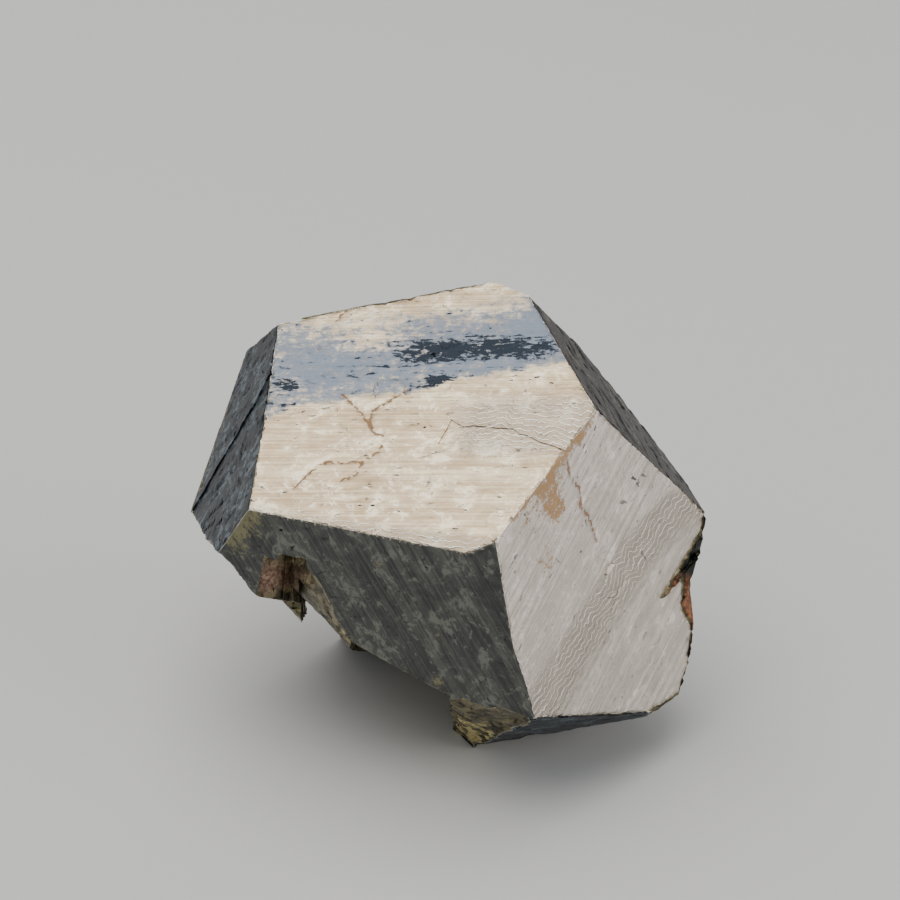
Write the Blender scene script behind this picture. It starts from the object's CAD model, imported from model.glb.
import math

import bmesh
import bpy
from mathutils import Euler, Matrix, Vector, noise


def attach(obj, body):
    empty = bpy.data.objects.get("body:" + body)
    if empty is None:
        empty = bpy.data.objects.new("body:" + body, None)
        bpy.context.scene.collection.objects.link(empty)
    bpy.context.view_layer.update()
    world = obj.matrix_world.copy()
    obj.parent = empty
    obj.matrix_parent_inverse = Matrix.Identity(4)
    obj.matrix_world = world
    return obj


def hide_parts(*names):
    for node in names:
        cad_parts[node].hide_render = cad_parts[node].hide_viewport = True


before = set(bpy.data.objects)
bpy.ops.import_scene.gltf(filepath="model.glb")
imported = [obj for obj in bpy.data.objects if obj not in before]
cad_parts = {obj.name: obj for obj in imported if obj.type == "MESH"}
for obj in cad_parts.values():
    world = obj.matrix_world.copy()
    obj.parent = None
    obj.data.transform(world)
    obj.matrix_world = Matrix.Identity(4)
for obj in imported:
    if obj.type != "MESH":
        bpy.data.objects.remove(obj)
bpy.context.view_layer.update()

# The crystal: one pyrite pyritohedron, iron sulphide that grew as twelve striated faces and was broken off
# its matrix. Its mesh is a fine copy of the CAD crystal, in millimetres until it is done. Places on a face
# are measured along its striations (x) and across them (y), from the foot of the crystal's middle on it.
MM = 0.001
MIDDLE = Vector((0.04, 1.33, 18.05))
RESTING = Euler([math.radians(turn) for turn in (50.36, -50.10, -153.97)], "XYZ").to_matrix()
SAME_FACING = math.cos(math.radians(1.5))  # how near in direction a triangle is to its face
SAME_LEVEL = 0.45  # how far a face's growth terraces lie below it
FRONT_HEIGHT = 0.34  # most that a growth front or the small crystal stands out of its face
WORN_FACETS = {  # the direction of a small facet that weathered together with the face
    "front_left": (0.223, -0.946, 0.235),
    "top": (0.480, 0.648, 0.591),
    "right_upper": (0.48, 0.87, -0.16),
}

# Each growth face: its lattice indices, its distance from the middle, and its longest mesh edge
FACES = {
    "top": ((2, 1, 0), 14.80, 0.38),
    "front_right": ((0, 2, -1), 16.95, 0.38),
    "front_left": ((1, 0, -2), 15.92, 0.42),
    "left": ((2, -1, 0), 20.23, 0.52),
    "right_upper": ((0, 2, 1), 18.90, 0.52),
    "back_upper": ((1, 0, 2), 19.51, 0.85),
    "front_under": ((-1, 0, -2), 19.51, 0.85),
    "back_left": ((0, -2, 1), 17.45, 0.85),
    "right_under": ((-2, 1, 0), 23.20, 0.85),
    "back": ((-1, 0, 2), 12.25, 0.85),
}
BROKEN_CELL = 0.60  # longest mesh edge of the broken surfaces
HALVINGS = 12
FLAT = math.radians(0.5)  # the mesh of a face is evened out across edges flatter than this
BROKEN = 0  # the zone number of the broken surfaces; the faces follow it


def lattice(indices):
    """A lattice direction in the resting pose."""
    return (RESTING @ Vector(indices)).normalized()


def face_axes(name):
    """A growth face's foot, its direction along the striations, the one across them, and its normal."""
    indices, distance = FACES[name][:2]
    normal = lattice(indices)
    long_edge = lattice([1 if index == 0 else 0 for index in indices])
    along = long_edge.cross(normal).normalized()
    return MIDDLE + normal * distance, along, normal.cross(along), normal


def sort_zones(bm, zone):
    """Writes on each triangle which growth face it lies on or finishes with, or that it is broken surface."""
    planes = [face_axes(name) for name in FACES]
    for face in bm.faces:
        face[zone] = BROKEN
        for number, (name, (foot, _, _, normal)) in enumerate(zip(FACES, planes), start=1):
            heights = [(vert.co - foot).dot(normal) for vert in face.verts]
            flat = max(map(abs, heights)) < SAME_LEVEL and face.normal.dot(normal) > SAME_FACING
            front = -FRONT_HEIGHT < min(heights) and max(heights) < FRONT_HEIGHT
            facet = Vector(WORN_FACETS.get(name, normal)).normalized()
            worn = name in WORN_FACETS and face.normal.dot(facet) > SAME_FACING
            if flat or front or worn:
                face[zone] = number


def fine_mesh(bm, zone):
    """Halves every edge that is too long for its zone until none is left, and evens out the flat parts."""
    cells = [BROKEN_CELL] + [measures[2] for measures in FACES.values()]
    for _ in range(HALVINGS):
        long = [
            edge for edge in bm.edges
            if edge.calc_length() > min(cells[face[zone]] for face in edge.link_faces)
        ]
        if not long:
            break
        bmesh.ops.subdivide_edges(bm, edges=long, cuts=1)
        bmesh.ops.triangulate(bm, faces=[face for face in bm.faces if len(face.verts) > 3])
        inner = [
            edge for edge in bm.edges
            if len({face[zone] for face in edge.link_faces}) == 1 and edge.link_faces[0][zone] != BROKEN
            and edge.calc_face_angle(1.0) < FLAT
        ]
        bm.faces.index_update()
        numbers = {face.index for edge in inner for face in edge.link_faces}
        flat = [face for face in bm.faces if face.index in numbers]
        bmesh.ops.beautify_fill(bm, faces=flat, edges=inner, method="ANGLE")


# The relief of the growth faces: striations, which are growth steps a few hundredths of a millimetre high,
# with the growth layers, plates, pits and cracks that the faces show. Each depth is taken off inwards.
STRIA_PITCH, STRIA_DEPTH = 0.85, 0.035
STRIA_BEND = ((0.35, 0.06, 0.3, 0.0), (0.10, 0.35, 0.9, 4.0))  # waves that bend the striations
STRIA_RUN, STRIA_BREADTH, STRIA_SEED = 0.07, 0.55, 9.0  # waves by which they start and stop
STRIA_FADE = (-0.35, 0.45)
FINE_PITCH, FINE_BEND, FINE_DEPTH = 0.37, 0.6, 0.35  # the fine ones between them, as shares of the coarse
LAYER_FRONTS = [-2.6, -3.1, -3.7, -4.3, -4.8, -5.5, -6.1, -6.8, -7.6]  # where the front right layers end
LAYER_DROP, LAYER_EDGE = 0.040, 0.06  # how high a layer's front is, and half its width
LAYER_SLOPE, LAYER_CURL, LAYER_TURN = 0.13, 0.035, 3.0  # the fronts slope, and curl down past the turn
LAYER_START, BAND_START = -6.0, -4.0
LAYER_WAVES = ((0.42, 0.55, 0.35, 21.0), (0.20, 1.7, 1.3, 27.0))
BAND_MIDDLE, BAND_FADE = -5.2, (1.4, 3.0)  # the band of close fronts on the front right face
TOP_BAND_FROM, TOP_BAND_MIDDLE, TOP_BAND_FADE = (1.5, 5.0), 0.6, (1.6, 4.0)  # one at the top face's right end
RIM_BAND_START, RIM_BAND_MIDDLE, RIM_BAND_SLOPE = -14.0, -9.0, 0.16  # and one along its front rim
RIM_BAND_FADE, RIM_BAND_SHARE = (0.6, 2.0), 0.8
PLATE_DEPTH, PLATE_WANDER, PLATE_WAVES, PLATE_MIX = 0.05, 0.9, 0.5, 7.3
PLATES = {"front_right": (1.0, 5.0, 0.4), "top": (1.0, 3.6, 1.0), "front_left": (1.0, 1.5, 0.5)}
OTHER_PLATES = (0.35, 1.6, 1.0)  # how far they are drawn out, their size, and their share of the depth
TOP_PLATES_MIDDLE, TOP_PLATES_HALF, TOP_PLATES_FADE = -3.0, 8.0, 3.0
PITS_ALONG, PITS_ACROSS, PITS_RIM, PITS_SEED = 0.9, 1.8, 0.12, 2.0
PITS = {"front_right": (1.0, 0.0, 0.0), "top": (1.0, 0.62, 0.05), "front_left": (1.0, 0.66, 0.08)}
OTHER_PITS = (0.5, 0.72, 0.07)  # how far they are drawn out, how common they are, and their depth
FACE_SEED = 10.0
CRACK_WIDTH, CRACK_DEPTH, CRACK_CORE = 0.21, 0.07, 0.3
CRACK_WANDER, CRACK_WAVES, CRACK_SEEDS = 0.22, 1.9, (3.0, 8.0)
CRACKS = {
    "top": [
        [
            (-7.4, 4.0), (-6.0, 2.6), (-4.9, 1.2), (-4.4, 0.2),
            (-3.3, -0.5), (-3.2, -1.9), (-4.6, -3.0), (-6.4, -3.2),
        ],
        [(-6.4, -3.2), (-8.0, -3.2), (-9.3, -4.4), (-10.4, -5.8)],
        [(-4.4, 0.2), (-4.6, 2.2), (-2.9, 3.4), (-1.6, 4.4)],
        [(-4.6, -3.0), (-5.2, -4.4), (-6.6, -5.2)],
        [(-7.5, 15.0), (-8.2, 13.2), (-9.0, 12.0)],
    ],
    "front_right": [
        [(5.6, 6.6), (4.7, 5.4), (4.6, 4.0), (3.3, 2.8), (3.2, 1.4), (2.0, -0.7)],
        [(-1.6, -6.6), (0.2, -6.1), (1.4, -6.6)],
    ],
}


def smooth_step(value, low, high):
    """0 below low and 1 above high, with a smooth rise between them."""
    share = min(1.0, max(0.0, (value - low) / (high - low)))
    return share * share * (3.0 - 2.0 * share)


def wave(x, y, seed):
    """Smooth noise between -1 and 1 over a face."""
    return noise.noise(Vector((x, y, seed)))


def waves(rows, x, y, seed):
    """Waves added up, each with its height, how many there are to a millimetre each way, and its seed."""
    return sum(height * wave(x * along, y * across, seed + shift) for height, along, across, shift in rows)


def crack_share(name, x, y):
    """1 in the middle of a crack of the face, falling to 0 at its sides."""
    aside = [CRACK_WANDER * wave(x * CRACK_WAVES, y * CRACK_WAVES, seed) for seed in CRACK_SEEDS]
    spot = Vector((x + aside[0], y + aside[1]))
    nearest = 1.0
    for line in CRACKS.get(name, ()):
        for start, end in zip(line, line[1:]):
            a, b = Vector(start), Vector(end)
            share = min(1.0, max(0.0, (spot - a).dot(b - a) / (b - a).length_squared))
            nearest = min(nearest, (spot - a.lerp(b, share)).length)
    return 1.0 - smooth_step(nearest, CRACK_CORE * CRACK_WIDTH, CRACK_WIDTH)


def striations(x, y, seed):
    """The saw-toothed relief of the striations, which start, fade and stop along their length."""
    bend = waves(STRIA_BEND, x, y, seed)
    tooth = ((y + bend) / STRIA_PITCH) % 1.0
    fine = ((y + FINE_BEND * bend) / (STRIA_PITCH * FINE_PITCH)) % 1.0
    strength = smooth_step(wave(x * STRIA_RUN, y * STRIA_BREADTH, seed + STRIA_SEED), *STRIA_FADE)
    return STRIA_DEPTH * (strength * tooth + FINE_DEPTH * (1.0 - strength) * fine)


def layer_fall(x, start):
    """How far the fronts of the front right face's layers have sloped and curled down."""
    return LAYER_SLOPE * (x - start) + LAYER_CURL * max(0.0, x - LAYER_TURN) ** 2


def layers(x, y):
    """The growth layers of the front right face, each of which ends in a wavy front."""
    depth = 0.0
    for number, front in enumerate(LAYER_FRONTS):
        level = front - layer_fall(x, LAYER_START) + waves(LAYER_WAVES, x, number, 0.0)
        depth += LAYER_DROP * smooth_step(level - y, -LAYER_EDGE, LAYER_EDGE)
    return depth


def layered(name, x, y):
    """1 where the face's growth layers end close together, which shows as fine wavy lines."""
    if name == "front_right":
        return 1.0 - smooth_step(abs(y - BAND_MIDDLE + layer_fall(x, BAND_START)), *BAND_FADE)
    if name == "top":
        right = 1.0 - smooth_step(abs(y - TOP_BAND_MIDDLE), *TOP_BAND_FADE)
        rim = abs(y - RIM_BAND_MIDDLE + RIM_BAND_SLOPE * (x - RIM_BAND_START))
        rim = RIM_BAND_SHARE * (1.0 - smooth_step(rim, *RIM_BAND_FADE))
        return max(right * smooth_step(x, *TOP_BAND_FROM), rim)
    return 0.0


def plates(x, y, seed, size):
    """Low irregular plates, each a little above or below the next."""
    aside = [PLATE_WANDER * wave(x * PLATE_WAVES, y * PLATE_WAVES, seed + shift) for shift in (0.0, 5.0)]
    spot = Vector((x + aside[0], y + aside[1], seed))
    cell = noise.voronoi(spot / size)[1][0]
    return PLATE_DEPTH * noise.cell(cell * PLATE_MIX)


def pits(x, y, seed, common, depth):
    """Scattered small pits, drawn out along the striations."""
    rise = wave(x * PITS_ALONG, y * PITS_ACROSS, seed)
    return depth * smooth_step(rise, 1.0 - common, 1.0 + PITS_RIM - common)


def face_depth(name, x, y):
    """How far inwards a point of a growth face lies."""
    seed = FACE_SEED * list(FACES).index(name)
    drawn_out, size, share = PLATES.get(name, OTHER_PLATES)
    plate = share * plates(x * drawn_out, y, seed, size)
    if name == "top":
        plate *= smooth_step(TOP_PLATES_HALF - abs(x - TOP_PLATES_MIDDLE), 0.0, TOP_PLATES_FADE)
    drawn_out, common, deep = PITS.get(name, OTHER_PITS)
    pit = pits(x * drawn_out, y, seed + PITS_SEED, common, deep)
    layer = layers(x, y) if name == "front_right" else 0.0
    return striations(x, y, seed) + CRACK_DEPTH * crack_share(name, x, y) + layer + plate + pit


# The broken surfaces: pyrite breaks unevenly, into small tilted facets that sparkle, with ledges between
# them. The notch is the smooth mould of other crystals, and the resting spots on the floor stay flat.
FACET_SIZE, FACET_TILT, FACET_LEVEL, FACET_MIX = 1.25, 0.34, 0.45, 9.7
SMALL_FACETS, SMALL_FACET_DEPTH = 0.42, 0.4  # the smaller facets on them, as shares of the large
GRAIN_DEPTH, GRAIN_WAVES = 0.07, 1.9
BROKEN_SHARE, BROKEN_RIM_SHARE = 0.5, 0.45  # of that relief in all, and where it meets a growth face
FLOOR_SPOTS = 0.25  # below this height the relief fades out
NOTCH_MIDDLE, NOTCH_REACH, NOTCH_FADE, NOTCH_CALM = Vector((-14.0, -11.0, 19.5)), 4.2, 4, 0.85


def broken_depth(spot):
    """How far inwards a point of a broken surface lies."""
    depth = 0.0
    for size, share in ((FACET_SIZE, 1.0), (FACET_SIZE * SMALL_FACETS, SMALL_FACET_DEPTH)):
        place = spot / size
        cell = noise.voronoi(place)[1][0]
        tilt = noise.cell_vector(cell * FACET_MIX) * 2.0 - Vector((1.0, 1.0, 1.0))
        depth += share * size * FACET_TILT * (FACET_LEVEL + tilt.dot(place - cell))
    depth += GRAIN_DEPTH * noise.noise(spot * GRAIN_WAVES)
    calm = math.exp(-((spot - NOTCH_MIDDLE).length / NOTCH_REACH) ** NOTCH_FADE)
    return max(0.0, BROKEN_SHARE * depth) * (1.0 - NOTCH_CALM * calm) * smooth_step(spot.z, 0.0, FLOOR_SPOTS)


# The worn edges: pyrite is brittle, so the edges between faces have lost a hair's breadth, and a nick here
# and there, which shows as a bright line.
WEAR, WEAR_CHANGE, WEAR_WAVES = 0.035, 0.6, 2.3
NICK, NICK_PLACES, NICK_WAVES = 0.11, (0.25, 0.6), 0.9
CHIPS, CHIP_WAVES = (-0.1, 0.5), 3.1  # a nick is a row of small chips


def edge_depth(spot):
    """How far in an edge between two growth faces is worn."""
    nick = smooth_step(noise.noise(spot * NICK_WAVES), *NICK_PLACES)
    nick *= smooth_step(noise.noise(spot * CHIP_WAVES), *CHIPS)
    return WEAR * (1.0 + WEAR_CHANGE * noise.noise(spot * WEAR_WAVES)) + NICK * nick


# Where the looks change over the crystal, as soft patches that the finishes break up: each is a middle, a
# half width along and across the striations, and a strength. The top face's bluish tarnish starts at a line.
TARNISH_EDGE = [(-15.0, 1.2), (-2.2, 3.9), (12.0, 6.9)]
TARNISH_WANDER, TARNISH_WAVES, TARNISH_SEED, TARNISH_FADE = 0.9, 0.3, 2.0, (-0.5, 1.2)
TARNISH_SHARE = 0.66
BLUE = [(9.6, 10.5, 2.6, 2.2, 0.5), (-9.0, 7.0, 5.0, 2.6, 0.25), (3.0, 8.0, 6.0, 3.0, 0.3)]
CREAM = [(-2.0, 15.5, 9.0, 2.4, 0.75), (-6.0, 10.0, 2.6, 1.3, 0.35), (-9.5, 13.0, 4.0, 1.4, 0.45)]
SLATE = [
    (0.3, 8.6, 3.6, 1.5, 1.0), (6.3, 9.0, 3.2, 1.3, 0.95), (1.0, 5.2, 2.3, 0.9, 0.8),
    (-12.6, 5.1, 1.8, 0.9, 0.7), (-6.5, 6.2, 2.2, 0.8, 0.35), (10.2, 8.6, 1.5, 1.2, 0.55),
    (-12.2, 2.9, 2.0, 0.5, 0.4),
]
RUST = {
    "top": [(-4.6, -1.6, 2.6, 2.4, 0.35), (-9.0, -4.6, 2.0, 1.2, 0.3), (-11.6, 0.2, 1.6, 1.2, 0.25)],
    "front_right": [
        (1.7, 5.4, 1.3, 1.5, 0.9), (4.6, 9.0, 3.0, 1.9, 0.65), (-2.6, 3.6, 1.5, 1.8, 0.6),
        (3.2, 7.2, 2.0, 1.3, 0.6), (-7.4, 5.4, 1.3, 1.6, 0.45), (8.4, 7.0, 2.2, 1.3, 0.55),
        (-0.6, 8.0, 2.2, 1.6, 0.45),
    ],
    "front_left": [
        (-13.4, -6.6, 2.2, 2.4, 0.8), (-11.6, -9.0, 2.0, 1.6, 0.7), (3.0, -3.6, 4.0, 0.9, 0.7),
        (6.6, 2.0, 0.8, 0.8, 0.8), (-5.4, 2.8, 0.7, 0.6, 0.7), (2.5, 4.5, 0.6, 0.5, 0.6),
    ],
}
RUST_SHARE = 0.75  # rust never covers a growth face whole
EDGE_RUST_START, EDGE_RUST_END = Vector((-4.6, 10.4)), Vector((11.1, 6.5))  # the front right's upper edge
EDGE_RUST_SHARE, EDGE_RUST_REACH = 0.50, 1.1


def patches(spots, x, y):
    """The sum of soft patches at a place on a face."""
    total = 0.0
    for middle_x, middle_y, half_x, half_y, strength in spots:
        total += strength * math.exp(-(((x - middle_x) / half_x) ** 2) - ((y - middle_y) / half_y) ** 2)
    return total


def above_line(line, x, y):
    """How far a place lies beyond a line that runs from left to right."""
    for (x0, y0), (x1, y1) in zip(line, line[1:]):
        if x < x1 or (x1, y1) == line[-1]:
            return y - (y0 + (y1 - y0) * (x - x0) / (x1 - x0))


def face_looks(name, x, y):
    """The shares of bluish tarnish, slate streaks and rust at a place on a growth face."""
    tarnish = slate = 0.0
    rust = patches(RUST.get(name, ()), x, y)
    if name == "top":
        beyond = above_line(TARNISH_EDGE, x, y)
        beyond += TARNISH_WANDER * wave(x * TARNISH_WAVES, y * TARNISH_WAVES, TARNISH_SEED)
        inside = smooth_step(beyond, *TARNISH_FADE)
        tarnish = inside * max(0.0, TARNISH_SHARE + patches(BLUE, x, y) - patches(CREAM, x, y))
        slate = inside * patches(SLATE, x, y)
    if name == "front_right":
        edge = EDGE_RUST_END - EDGE_RUST_START
        spot = Vector((x, y)) - EDGE_RUST_START
        away = abs(spot.x * edge.y - spot.y * edge.x) / edge.length
        rust += EDGE_RUST_SHARE * (1.0 - smooth_step(away, 0.0, EDGE_RUST_REACH))
    return min(1.0, tarnish), min(1.0, slate), min(RUST_SHARE, rust)


# On the broken surfaces: rust in the oxidised patch at the right end and in the notch, sparkling brass where
# the leg and the lower rim broke last, and a dark film under the overhang. Each is a middle, a reach and a
# strength. There the mesh's tarnish, slate and layered shares stand for dark film, brass and mould.
BROKEN_RUST = [
    ((21.2, -4.4, 12.6), 4.2, 1.0), ((-11.6, -11.8, 17.4), 1.5, 1.0), ((-14.4, -11.6, 20.0), 3.0, 0.35),
]
BROKEN_BRASS = [
    ((2.0, -9.8, 2.6), 5.0, 1.0), ((-6.0, -12.6, 13.5), 4.5, 0.6), ((-20.0, -2.0, 14.0), 7.0, 0.55),
]
BROKEN_DARK = [
    ((10.0, 2.0, 6.0), 9.0, 0.9), ((21.8, -2.6, 17.0), 3.2, 1.4), ((-11.0, -11.0, 15.5), 2.6, 0.6),
]
BROKEN_MOULD = [((-14.6, -11.0, 19.6), 3.4, 1.0)]


def reach_of(spots, spot):
    """The sum of soft round patches at a point."""
    total = 0.0
    for middle, reach, power in spots:
        total += power * math.exp(-((spot - Vector(middle)).length / reach) ** 2)
    return min(1.0, total)


SAME_POINT, SLIVER = 0.002, 0.012  # vertices nearer than this are one, before and after the mesh is made fine
SMALL_CRYSTAL_HEIGHT = 0.1  # what stands out of the front right face by more than this is the small crystal
SHARP_ANGLE, SHARP_BROKEN_ANGLE = math.radians(24.0), math.radians(14.0)  # from here an edge shows

bm = bmesh.new()
bm.from_mesh(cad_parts["pyrite_crystal"].data)
bmesh.ops.transform(bm, matrix=Matrix.Scale(1.0 / MM, 4), verts=bm.verts[:])
bmesh.ops.remove_doubles(bm, verts=bm.verts[:], dist=SAME_POINT)
bm.normal_update()
zone = bm.faces.layers.int.new("zone")
sort_zones(bm, zone)
fine_mesh(bm, zone)
bmesh.ops.remove_doubles(bm, verts=bm.verts[:], dist=SLIVER)
bm.normal_update()

axes = [None] + [face_axes(name) for name in FACES]
names = [None] + list(FACES)
small_crystal_foot, _, _, small_crystal_normal = axes[names.index("front_right")]
place_layer = bm.loops.layers.uv.new("face_place")
mesh_shares = {
    name: bm.verts.layers.float.new(name)
    for name in ("tarnish", "slate", "rust", "crack", "wear", "layered")
}
moves = []
for vert in bm.verts:
    zones = {face[zone] for face in vert.link_faces}
    move = Vector()
    values = [0.0, 0.0, 0.0]
    for number in sorted(zones - {BROKEN}):
        foot, along, across, normal = axes[number]
        x, y = (vert.co - foot).dot(along), (vert.co - foot).dot(across)
        depth = face_depth(names[number], x, y)
        if len(zones) > 1:
            depth += edge_depth(vert.co)
        move -= normal * depth
        values = [max(pair) for pair in zip(values, face_looks(names[number], x, y))]
        vert[mesh_shares["crack"]] = max(vert[mesh_shares["crack"]], crack_share(names[number], x, y))
        vert[mesh_shares["layered"]] = max(vert[mesh_shares["layered"]], layered(names[number], x, y))
    if BROKEN in zones:
        facing = sum((face.normal for face in vert.link_faces if face[zone] == BROKEN), Vector())
        move -= facing.normalized() * broken_depth(vert.co) * (1.0 if len(zones) == 1 else BROKEN_RIM_SHARE)
        if len(zones) == 1:
            values = [reach_of(spots, vert.co) for spots in (BROKEN_DARK, BROKEN_BRASS, BROKEN_RUST)]
            vert[mesh_shares["layered"]] = reach_of(BROKEN_MOULD, vert.co)
    vert[mesh_shares["tarnish"]], vert[mesh_shares["slate"]], vert[mesh_shares["rust"]] = values
    proud = (vert.co - small_crystal_foot).dot(small_crystal_normal) > SMALL_CRYSTAL_HEIGHT
    vert[mesh_shares["wear"]] = 1.0 if len(zones) > 1 or proud else 0.0
    moves.append(move * smooth_step(vert.co.z, 0.0, FLOOR_SPOTS))
for face in bm.faces:
    if face[zone] != BROKEN:
        foot, along, across, _ = axes[face[zone]]
        for loop in face.loops:
            loop[place_layer].uv = ((loop.vert.co - foot).dot(along), (loop.vert.co - foot).dot(across))
for vert, move in zip(bm.verts, moves):
    vert.co += move
bm.normal_update()

for face in bm.faces:
    face.smooth = True
    face.material_index = face[zone]
for edge in bm.edges:
    broken = any(face[zone] == BROKEN for face in edge.link_faces)
    edge.smooth = edge.calc_face_angle(0.0) < (SHARP_BROKEN_ANGLE if broken else SHARP_ANGLE)
bmesh.ops.transform(bm, matrix=Matrix.Scale(MM, 4), verts=bm.verts[:])
mesh = bpy.data.meshes.new("pyrite_crystal_fine")
bm.to_mesh(mesh)
bm.free()
crystal = bpy.data.objects.new("pyrite_crystal_fine", mesh)
bpy.context.scene.collection.objects.link(crystal)
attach(crystal, "root")
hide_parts("pyrite_crystal")


# The finishes. Pyrite is an opaque pale brass metal. Clean growth faces reflect like worn metal; a thin oxide
# film tarnishes them bluish or slate, weathering turns them dark, and iron oxide stains them tan to orange.
def colour(text):
    """A linear colour from its sRGB hex value."""
    parts = [int(text[place:place + 2], 16) / 255.0 for place in (1, 3, 5)]
    return [part / 12.92 if part <= 0.04045 else ((part + 0.055) / 1.055) ** 2.4 for part in parts] + [1.0]


def add(material, kind, settings=None, **links):
    """Adds a node with its settings, and links or sets its inputs; an input's name has _ for each space."""
    node = material.node_tree.nodes.new(kind)
    for setting, value in (settings or {}).items():
        setattr(node, setting, value)
    for name, value in links.items():
        socket = node.inputs[int(name[1:])] if name[1:].isdigit() else node.inputs[name.replace("_", " ")]
        if isinstance(value, bpy.types.NodeSocket):
            material.node_tree.links.new(value, socket)
        else:
            socket.default_value = value
    return node


def start_finish(material, place, patterns, shares):
    """A finish's first values: the mesh's own shares, and noise patterns over a place in millimetres."""
    values = {
        name: add(material, "ShaderNodeAttribute", {"attribute_name": name}).outputs["Fac"] for name in shares
    }
    for name, (scale, detail, roughness, distortion, shift) in patterns.items():
        moved = add(material, "ShaderNodeMapping", Vector=place, Scale=scale, Location=(shift, shift, shift))
        values[name] = add(
            material, "ShaderNodeTexNoise", Vector=moved.outputs["Vector"], Scale=1.0, Detail=detail,
            Roughness=roughness, Distortion=distortion
        ).outputs["Fac"]
    return values


def weigh(material, values, rows):
    """Adds weighted sums of a finish's values to them, as shares from 0 to 1 where limits are given."""
    for name, (total, parts, limits) in rows.items():
        for part, weight in parts.items():
            total = add(
                material, "ShaderNodeMath", {"operation": "MULTIPLY_ADD"},
                i0=values[part], i1=weight, i2=total
            ).outputs[0]
        if limits:
            total = add(
                material, "ShaderNodeMapRange", {"interpolation_type": "SMOOTHSTEP"},
                Value=total, From_Min=limits[0], From_Max=limits[1]
            ).outputs["Result"]
        values[name] = total


def end_finish(material, values, ground, coats, bump_strength, bump_depth):
    """Lays a finish's coats of colour over its ground, and feeds the shader its looks."""
    dark, light = ground
    shade = add(
        material, "ShaderNodeMix", {"data_type": "RGBA"}, i0=values["tone"], i6=colour(dark), i7=colour(light)
    ).outputs[2]
    for share, strength, coat in coats:
        if not isinstance(coat, str):
            grain, dark, light = coat
            coat = add(
                material, "ShaderNodeMix", {"data_type": "RGBA"},
                i0=values[grain], i6=colour(dark), i7=colour(light)
            ).outputs[2]
        else:
            coat = colour(coat)
        thick = add(material, "ShaderNodeMath", {"operation": "MULTIPLY"}, i0=values[share], i1=strength)
        shade = add(
            material, "ShaderNodeMix", {"data_type": "RGBA"}, i0=thick.outputs[0], i6=shade, i7=coat
        ).outputs[2]
    bump = add(
        material, "ShaderNodeBump", Height=values["height"], Strength=bump_strength, Distance=bump_depth * MM
    )
    shader = material.node_tree.nodes["Principled BSDF"]
    material.node_tree.links.new(shade, shader.inputs["Base Color"])
    material.node_tree.links.new(values["dull"], shader.inputs["Roughness"])
    material.node_tree.links.new(values["bare"], shader.inputs["Metallic"])
    material.node_tree.links.new(bump.outputs["Normal"], shader.inputs["Normal"])


# The growth faces' patterns: their scales to a millimetre each way, detail, roughness, distortion and shift
GROWTH_PATTERNS = {
    "lines": ((0.10, 4.6, 1.0), 5.0, 0.65, 0.0, 0.0),  # striations about 0.2 mm apart
    "bands": ((0.05, 0.8, 1.0), 3.0, 0.55, 0.0, 7.0),  # growth bands about 1 mm wide
    "cloud": ((0.34, 0.42, 1.0), 9.0, 0.68, 0.8, 3.0),  # weathering, about 3 mm across
    "crust": ((1.1, 1.5, 1.0), 8.0, 0.72, 0.5, 12.0),  # crust and scale, about 0.8 mm
    "grit": ((3.6, 5.0, 1.0), 4.0, 0.7, 0.0, 31.0),  # specks of 0.2 mm
    "streak": ((0.42, 2.3, 1.0), 7.0, 0.72, 0.7, 19.0),  # film drawn out along the striations
    "wander": ((0.50, 0.13, 1.0), 3.0, 0.5, 0.0, 41.0),  # the waves of the layer fronts, 2 mm long
}
# Their shares: what the sum starts from, its parts and their weights, and where it goes from 0 to 1
GROWTH_SHARES = {
    "tone": (0.0, {"lines": 0.50, "bands": 0.25, "cloud": 0.40}, (0.46, 0.72)),
    "hazed": (0.0, {"tarnish": 0.85, "crust": 1.6, "streak": 0.8}, (1.35, 2.05)),
    "filmed": (0.0, {"tarnish": 0.85, "crust": 1.6, "streak": 0.8}, (1.62, 1.80)),
    "slated": (0.0, {"slate": 0.50, "streak": 1.7, "crust": 1.2}, (1.70, 1.80)),
    "rusted": (0.0, {"rust": 0.60, "crust": 1.1, "grit": 0.9}, (1.29, 1.46)),
    "cracked": (0.0, {"crack": 1.0, "grit": 0.5}, (0.78, 1.15)),
    "speckled": (0.0, {"grit": 1.0}, (0.66, 0.74)),
    "edged": (0.0, {"wear": 1.0, "crust": 0.5}, (0.80, 1.25)),
    "fronts_passed": (0.0, {"across": 1.7, "along": 0.2, "wander": 6.0, "grit": 0.15}, None),
}
MOTTLE_WIDTH = 0.07  # over how much of the pattern the mottling comes in
FRONT_START, FRONT_END = 0.72, 0.92  # a front is bright over the last part of the way to it
MEAN_GRAIN = 0.13  # what the grit and the lines add to the roughness on the whole
CRACK_STAIN, LAYER_GAP, LAYER_FRONT = "#9a6f45", "#9a8f84", "#fff6e6"


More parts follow.
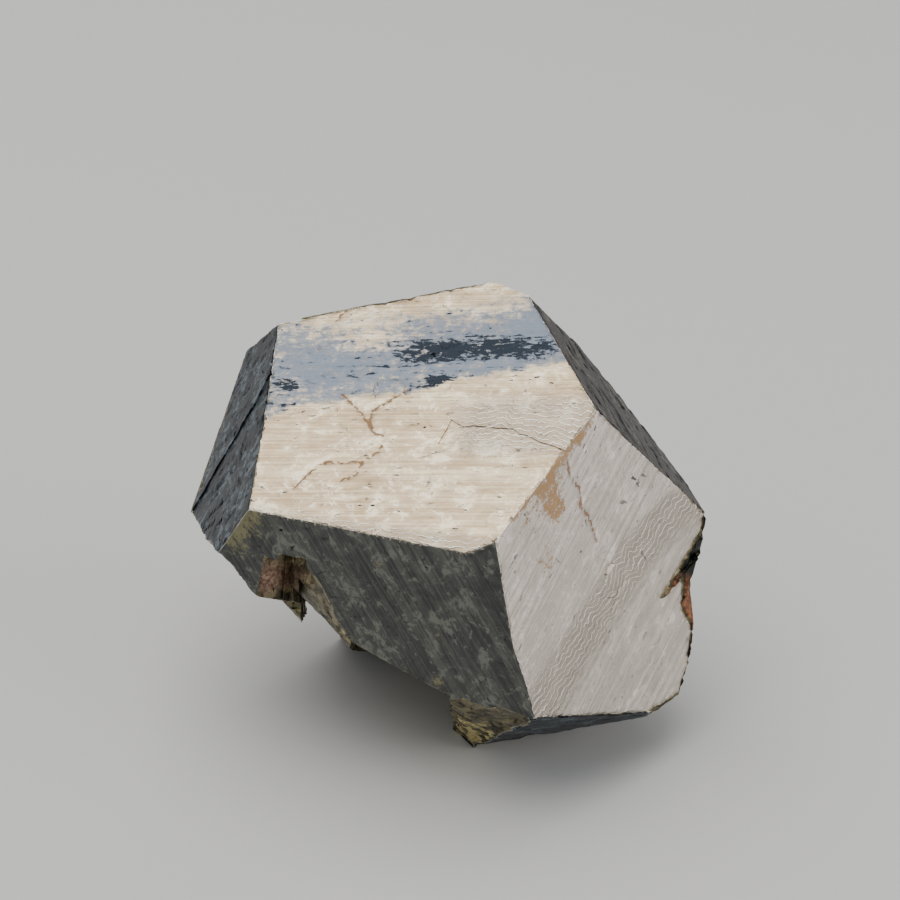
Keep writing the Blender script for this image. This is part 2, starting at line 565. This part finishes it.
def growth_finish(name, look):
    """A striated pyrite growth face: worn metal with fine lines along its striations, mottled and stained."""
    material = bpy.data.materials.new(name)
    material.use_nodes = True
    place = add(material, "ShaderNodeUVMap", {"uv_map": "face_place"}).outputs["UV"]
    values = start_finish(material, place, GROWTH_PATTERNS, mesh_shares)
    split = add(material, "ShaderNodeSeparateXYZ", Vector=place)
    values["along"], values["across"] = split.outputs["X"], split.outputs["Y"]
    mottled_to = look["mottled_from"] + MOTTLE_WIDTH
    mottled = (0.0, {"cloud": 0.6, "crust": 0.6}, (look["mottled_from"], mottled_to))
    weigh(material, values, {**GROWTH_SHARES, "mottled": mottled})

    # The fronts of close growth layers: wavy lines half a millimetre apart, bright where they catch light
    part = add(material, "ShaderNodeMath", {"operation": "FRACT"}, i0=values["fronts_passed"])
    front = add(
        material, "ShaderNodeMapRange", {"interpolation_type": "SMOOTHSTEP"},
        Value=part.outputs[0], From_Min=FRONT_START, From_Max=FRONT_END
    ).outputs["Result"]
    values["fronts"] = add(
        material, "ShaderNodeMath", {"operation": "MULTIPLY"}, i0=front, i1=values["layered"]
    ).outputs[0]

    start = look["rough"] - MEAN_GRAIN
    weigh(material, values, {
        "dull": (start, {"filmed": 0.10, "rusted": 0.28, "cracked": 0.25, "grit": 0.16, "lines": 0.10}, None),
        "bare": (look["metal"], {"rusted": -0.75, "slated": -0.25, "cracked": -0.5}, None),
        "height": (
            0.0,
            {"lines": 0.9, "crust": 0.5, "grit": 0.25, "rusted": 0.3, "fronts": 1.4, "slated": -0.4},
            None,
        ),
    })
    coats = [
        ("mottled", 1.0, look["mottle"]), ("hazed", 1.0, look["film"]), ("filmed", 0.55, look["film"]),
        ("slated", 1.0, look["slate"]), ("rusted", 0.85, look["stain"]), ("cracked", 0.8, CRACK_STAIN),
        ("speckled", 0.7, look["dark"]), ("layered", 0.55, LAYER_GAP), ("fronts", 1.0, LAYER_FRONT),
        ("edged", 1.0, look["worn"]),
    ]
    end_finish(material, values, (look["dark"], look["light"]), coats, 0.6, 0.06)
    return material


# The broken surfaces' own patterns and shares, laid out the same way
BROKEN_PATTERNS = {
    "crust": ((0.55, 0.55, 0.55), 9.0, 0.72, 0.6, 0.0),  # oxide and dirt, about 2 mm across
    "grit": ((3.2, 3.2, 3.2), 5.0, 0.7, 0.0, 0.0),  # grains of 0.3 mm
}
FACETS_PER_MM = 1.5
BROKEN_SHARES = {
    "tone": (0.0, {"facet": 0.35, "crust": 0.7, "grit": 0.35}, (0.45, 1.0)),
    "brassy": (0.0, {"slate": 0.6, "facet": 0.5, "grit": 0.5}, (0.80, 1.05)),
    "filmed": (0.0, {"tarnish": 0.8, "crust": 0.5}, (0.55, 1.0)),
    "moulded": (0.0, {"layered": 0.9, "crust": 0.3}, (0.5, 0.8)),
    "mould_grain": (0.0, {"grit": 1.0}, (0.40, 0.62)),
    "rusted": (0.0, {"rust": 0.9, "crust": 0.7}, (0.72, 1.1)),
    "oxide_grain": (0.0, {"grit": 1.0}, (0.42, 0.62)),
    "edged": (0.0, {"wear": 0.9, "grit": 0.6}, (0.95, 1.3)),
    "dull": (0.30, {"facet": -0.16, "rusted": 0.30, "grit": 0.3}, None),
    "bare": (1.0, {"rusted": -0.85}, None),
    "height": (0.0, {"grit": 0.6, "crust": 0.8, "facet": 0.3}, None),
}
BROKEN_GROUND = ("#3b382f", "#8d8467")
BROKEN_COATS = [
    ("brassy", 1.0, "#ded094"),
    ("filmed", 1.0, "#2b2c2a"),
    ("moulded", 1.0, ("mould_grain", "#6f5348", "#ab8f7d")),
    ("rusted", 1.0, ("oxide_grain", "#6a3c22", "#b9794a")),
    ("edged", 1.0, "#b3a67c"),
]


def broken_finish():
    """Broken pyrite: tilted facets from dark to bright brass, with oxide in the hollows."""
    material = bpy.data.materials.new("pyrite_fracture")
    material.use_nodes = True
    object_place = add(material, "ShaderNodeTexCoord").outputs["Object"]
    to_mm = (1.0 / MM, 1.0 / MM, 1.0 / MM)
    place = add(material, "ShaderNodeMapping", Vector=object_place, Scale=to_mm).outputs["Vector"]
    values = start_finish(material, place, BROKEN_PATTERNS, mesh_shares)
    facets = add(material, "ShaderNodeTexVoronoi", Vector=place, Scale=FACETS_PER_MM).outputs["Color"]
    values["facet"] = add(material, "ShaderNodeSeparateColor", Color=facets).outputs[0]
    weigh(material, values, BROKEN_SHARES)
    end_finish(material, values, BROKEN_GROUND, BROKEN_COATS, 0.7, 0.12)
    return material


# The growth faces' looks. Clean faces are pale brass metal, cream where the light is warm and pinkish grey at
# the side; the front left face is weathered grey green, the left one has a dark blue slate film, the right
# ones a brown crust, and the faces behind are dull brass. Each is rough enough to blur what it mirrors.
CLEAN_TOP = {
    "light": "#ecd9b6", "dark": "#b39b7b", "mottle": "#f4e5c9", "mottled_from": 0.62, "film": "#7f8894",
    "slate": "#2a323c", "stain": "#ad8250", "worn": "#fff4df", "rough": 0.36, "metal": 1.0,
}
CLEAN_SIDE = {
    "light": "#cdc3b9", "dark": "#b5aba1", "mottle": "#d8cdc1", "mottled_from": 0.64, "film": "#8e9aa6",
    "slate": "#59606a", "stain": "#b98c55", "worn": "#fbf2e2", "rough": 0.40, "metal": 1.0,
}
GREY_GREEN = {
    "light": "#666662", "dark": "#424443", "mottle": "#74766e", "mottled_from": 0.62, "film": "#6d7470",
    "slate": "#2b2e2d", "stain": "#8a845e", "worn": "#9b947c", "rough": 0.40, "metal": 0.9,
}
SLATE_BLUE = {
    "light": "#353e47", "dark": "#161b21", "mottle": "#727f88", "mottled_from": 0.62, "film": "#3c4956",
    "slate": "#10151b", "stain": "#8b8468", "worn": "#b8b5a8", "rough": 0.38, "metal": 0.9,
}
BROWN_GREY = {
    "light": "#4a443d", "dark": "#24211f", "mottle": "#7d7467", "mottled_from": 0.64, "film": "#4b4b4a",
    "slate": "#191816", "stain": "#7b6242", "worn": "#a08f75", "rough": 0.42, "metal": 0.9,
}
DULL_BRASS = {
    "light": "#948a73", "dark": "#5f594b", "mottle": "#a89d80", "mottled_from": 0.63, "film": "#6d7477",
    "slate": "#37393a", "stain": "#8a6a42", "worn": "#cfc19c", "rough": 0.42, "metal": 1.0,
}
FINISHES = {
    "top": CLEAN_TOP, "front_right": CLEAN_SIDE, "front_left": GREY_GREEN, "left": SLATE_BLUE,
    "right_upper": BROWN_GREY, "back_upper": DULL_BRASS, "front_under": SLATE_BLUE, "back_left": DULL_BRASS,
    "right_under": BROWN_GREY, "back": DULL_BRASS,
}
mesh.materials.append(broken_finish())
for name in FACES:
    mesh.materials.append(growth_finish(f"pyrite_{name}_face", FINISHES[name]))


# The studio: a floor of pale matt paper, a large softbox overhead, which the top face mirrors, a smaller one
# low at the right, which lights the front right face, and an even grey room.
FLOOR_SIDE, FLOOR_COLOUR, FLOOR_ROUGHNESS = 3.0, "#e9e7e3", 0.8
OVERHEAD_PLACE, OVERHEAD_SIZE, OVERHEAD_POWER = (-0.14, 0.02, 0.62), 0.70, 3.4
RIGHT_PLACE, RIGHT_SIZE, RIGHT_POWER = (0.52, -0.20, 0.17), 0.34, 1.0
LIGHTS_AIM = (0.0, 0.0, 0.018)
ROOM_COLOUR, ROOM_STRENGTH = "#bfc3c8", 0.55
CAMERA_PLACE = Vector((0.28, -202.56, 149.8)) * MM
CAMERA_DOWN = math.radians(31.25)
LENS, SENSOR, NEAREST = 108.0, 36.0, 0.01

bm = bmesh.new()
bmesh.ops.create_grid(bm, x_segments=1, y_segments=1, size=FLOOR_SIDE / 2)
floor_mesh = bpy.data.meshes.new("floor")
bm.to_mesh(floor_mesh)
bm.free()
floor = bpy.data.objects.new("floor", floor_mesh)
bpy.context.scene.collection.objects.link(floor)
floor_material = bpy.data.materials.new("matt_paper")
floor_material.use_nodes = True
floor_shader = floor_material.node_tree.nodes["Principled BSDF"]
floor_shader.inputs["Base Color"].default_value = colour(FLOOR_COLOUR)
floor_shader.inputs["Roughness"].default_value = FLOOR_ROUGHNESS
floor_mesh.materials.append(floor_material)


def softbox(name, place, size, power):
    """A square area light that faces the crystal."""
    light = bpy.data.lights.new(name, "AREA")
    light.shape = "SQUARE"
    light.size = size
    light.energy = power
    lamp = bpy.data.objects.new(name, light)
    lamp.location = place
    lamp.rotation_euler = (Vector(LIGHTS_AIM) - Vector(place)).to_track_quat("-Z", "Y").to_euler()
    bpy.context.scene.collection.objects.link(lamp)


softbox("overhead_softbox", OVERHEAD_PLACE, OVERHEAD_SIZE, OVERHEAD_POWER)
softbox("right_softbox", RIGHT_PLACE, RIGHT_SIZE, RIGHT_POWER)
world = bpy.data.worlds.new("studio")
world.use_nodes = True
world.node_tree.nodes["Background"].inputs["Color"].default_value = colour(ROOM_COLOUR)
world.node_tree.nodes["Background"].inputs["Strength"].default_value = ROOM_STRENGTH
bpy.context.scene.world = world

camera_data = bpy.data.cameras.new("camera")
camera_data.lens = LENS
camera_data.sensor_width = SENSOR
camera_data.clip_start = NEAREST
camera = bpy.data.objects.new("camera", camera_data)
camera.location = CAMERA_PLACE
camera.rotation_euler = (math.radians(90.0) - CAMERA_DOWN, 0.0, 0.0)
bpy.context.scene.collection.objects.link(camera)
bpy.context.scene.camera = camera
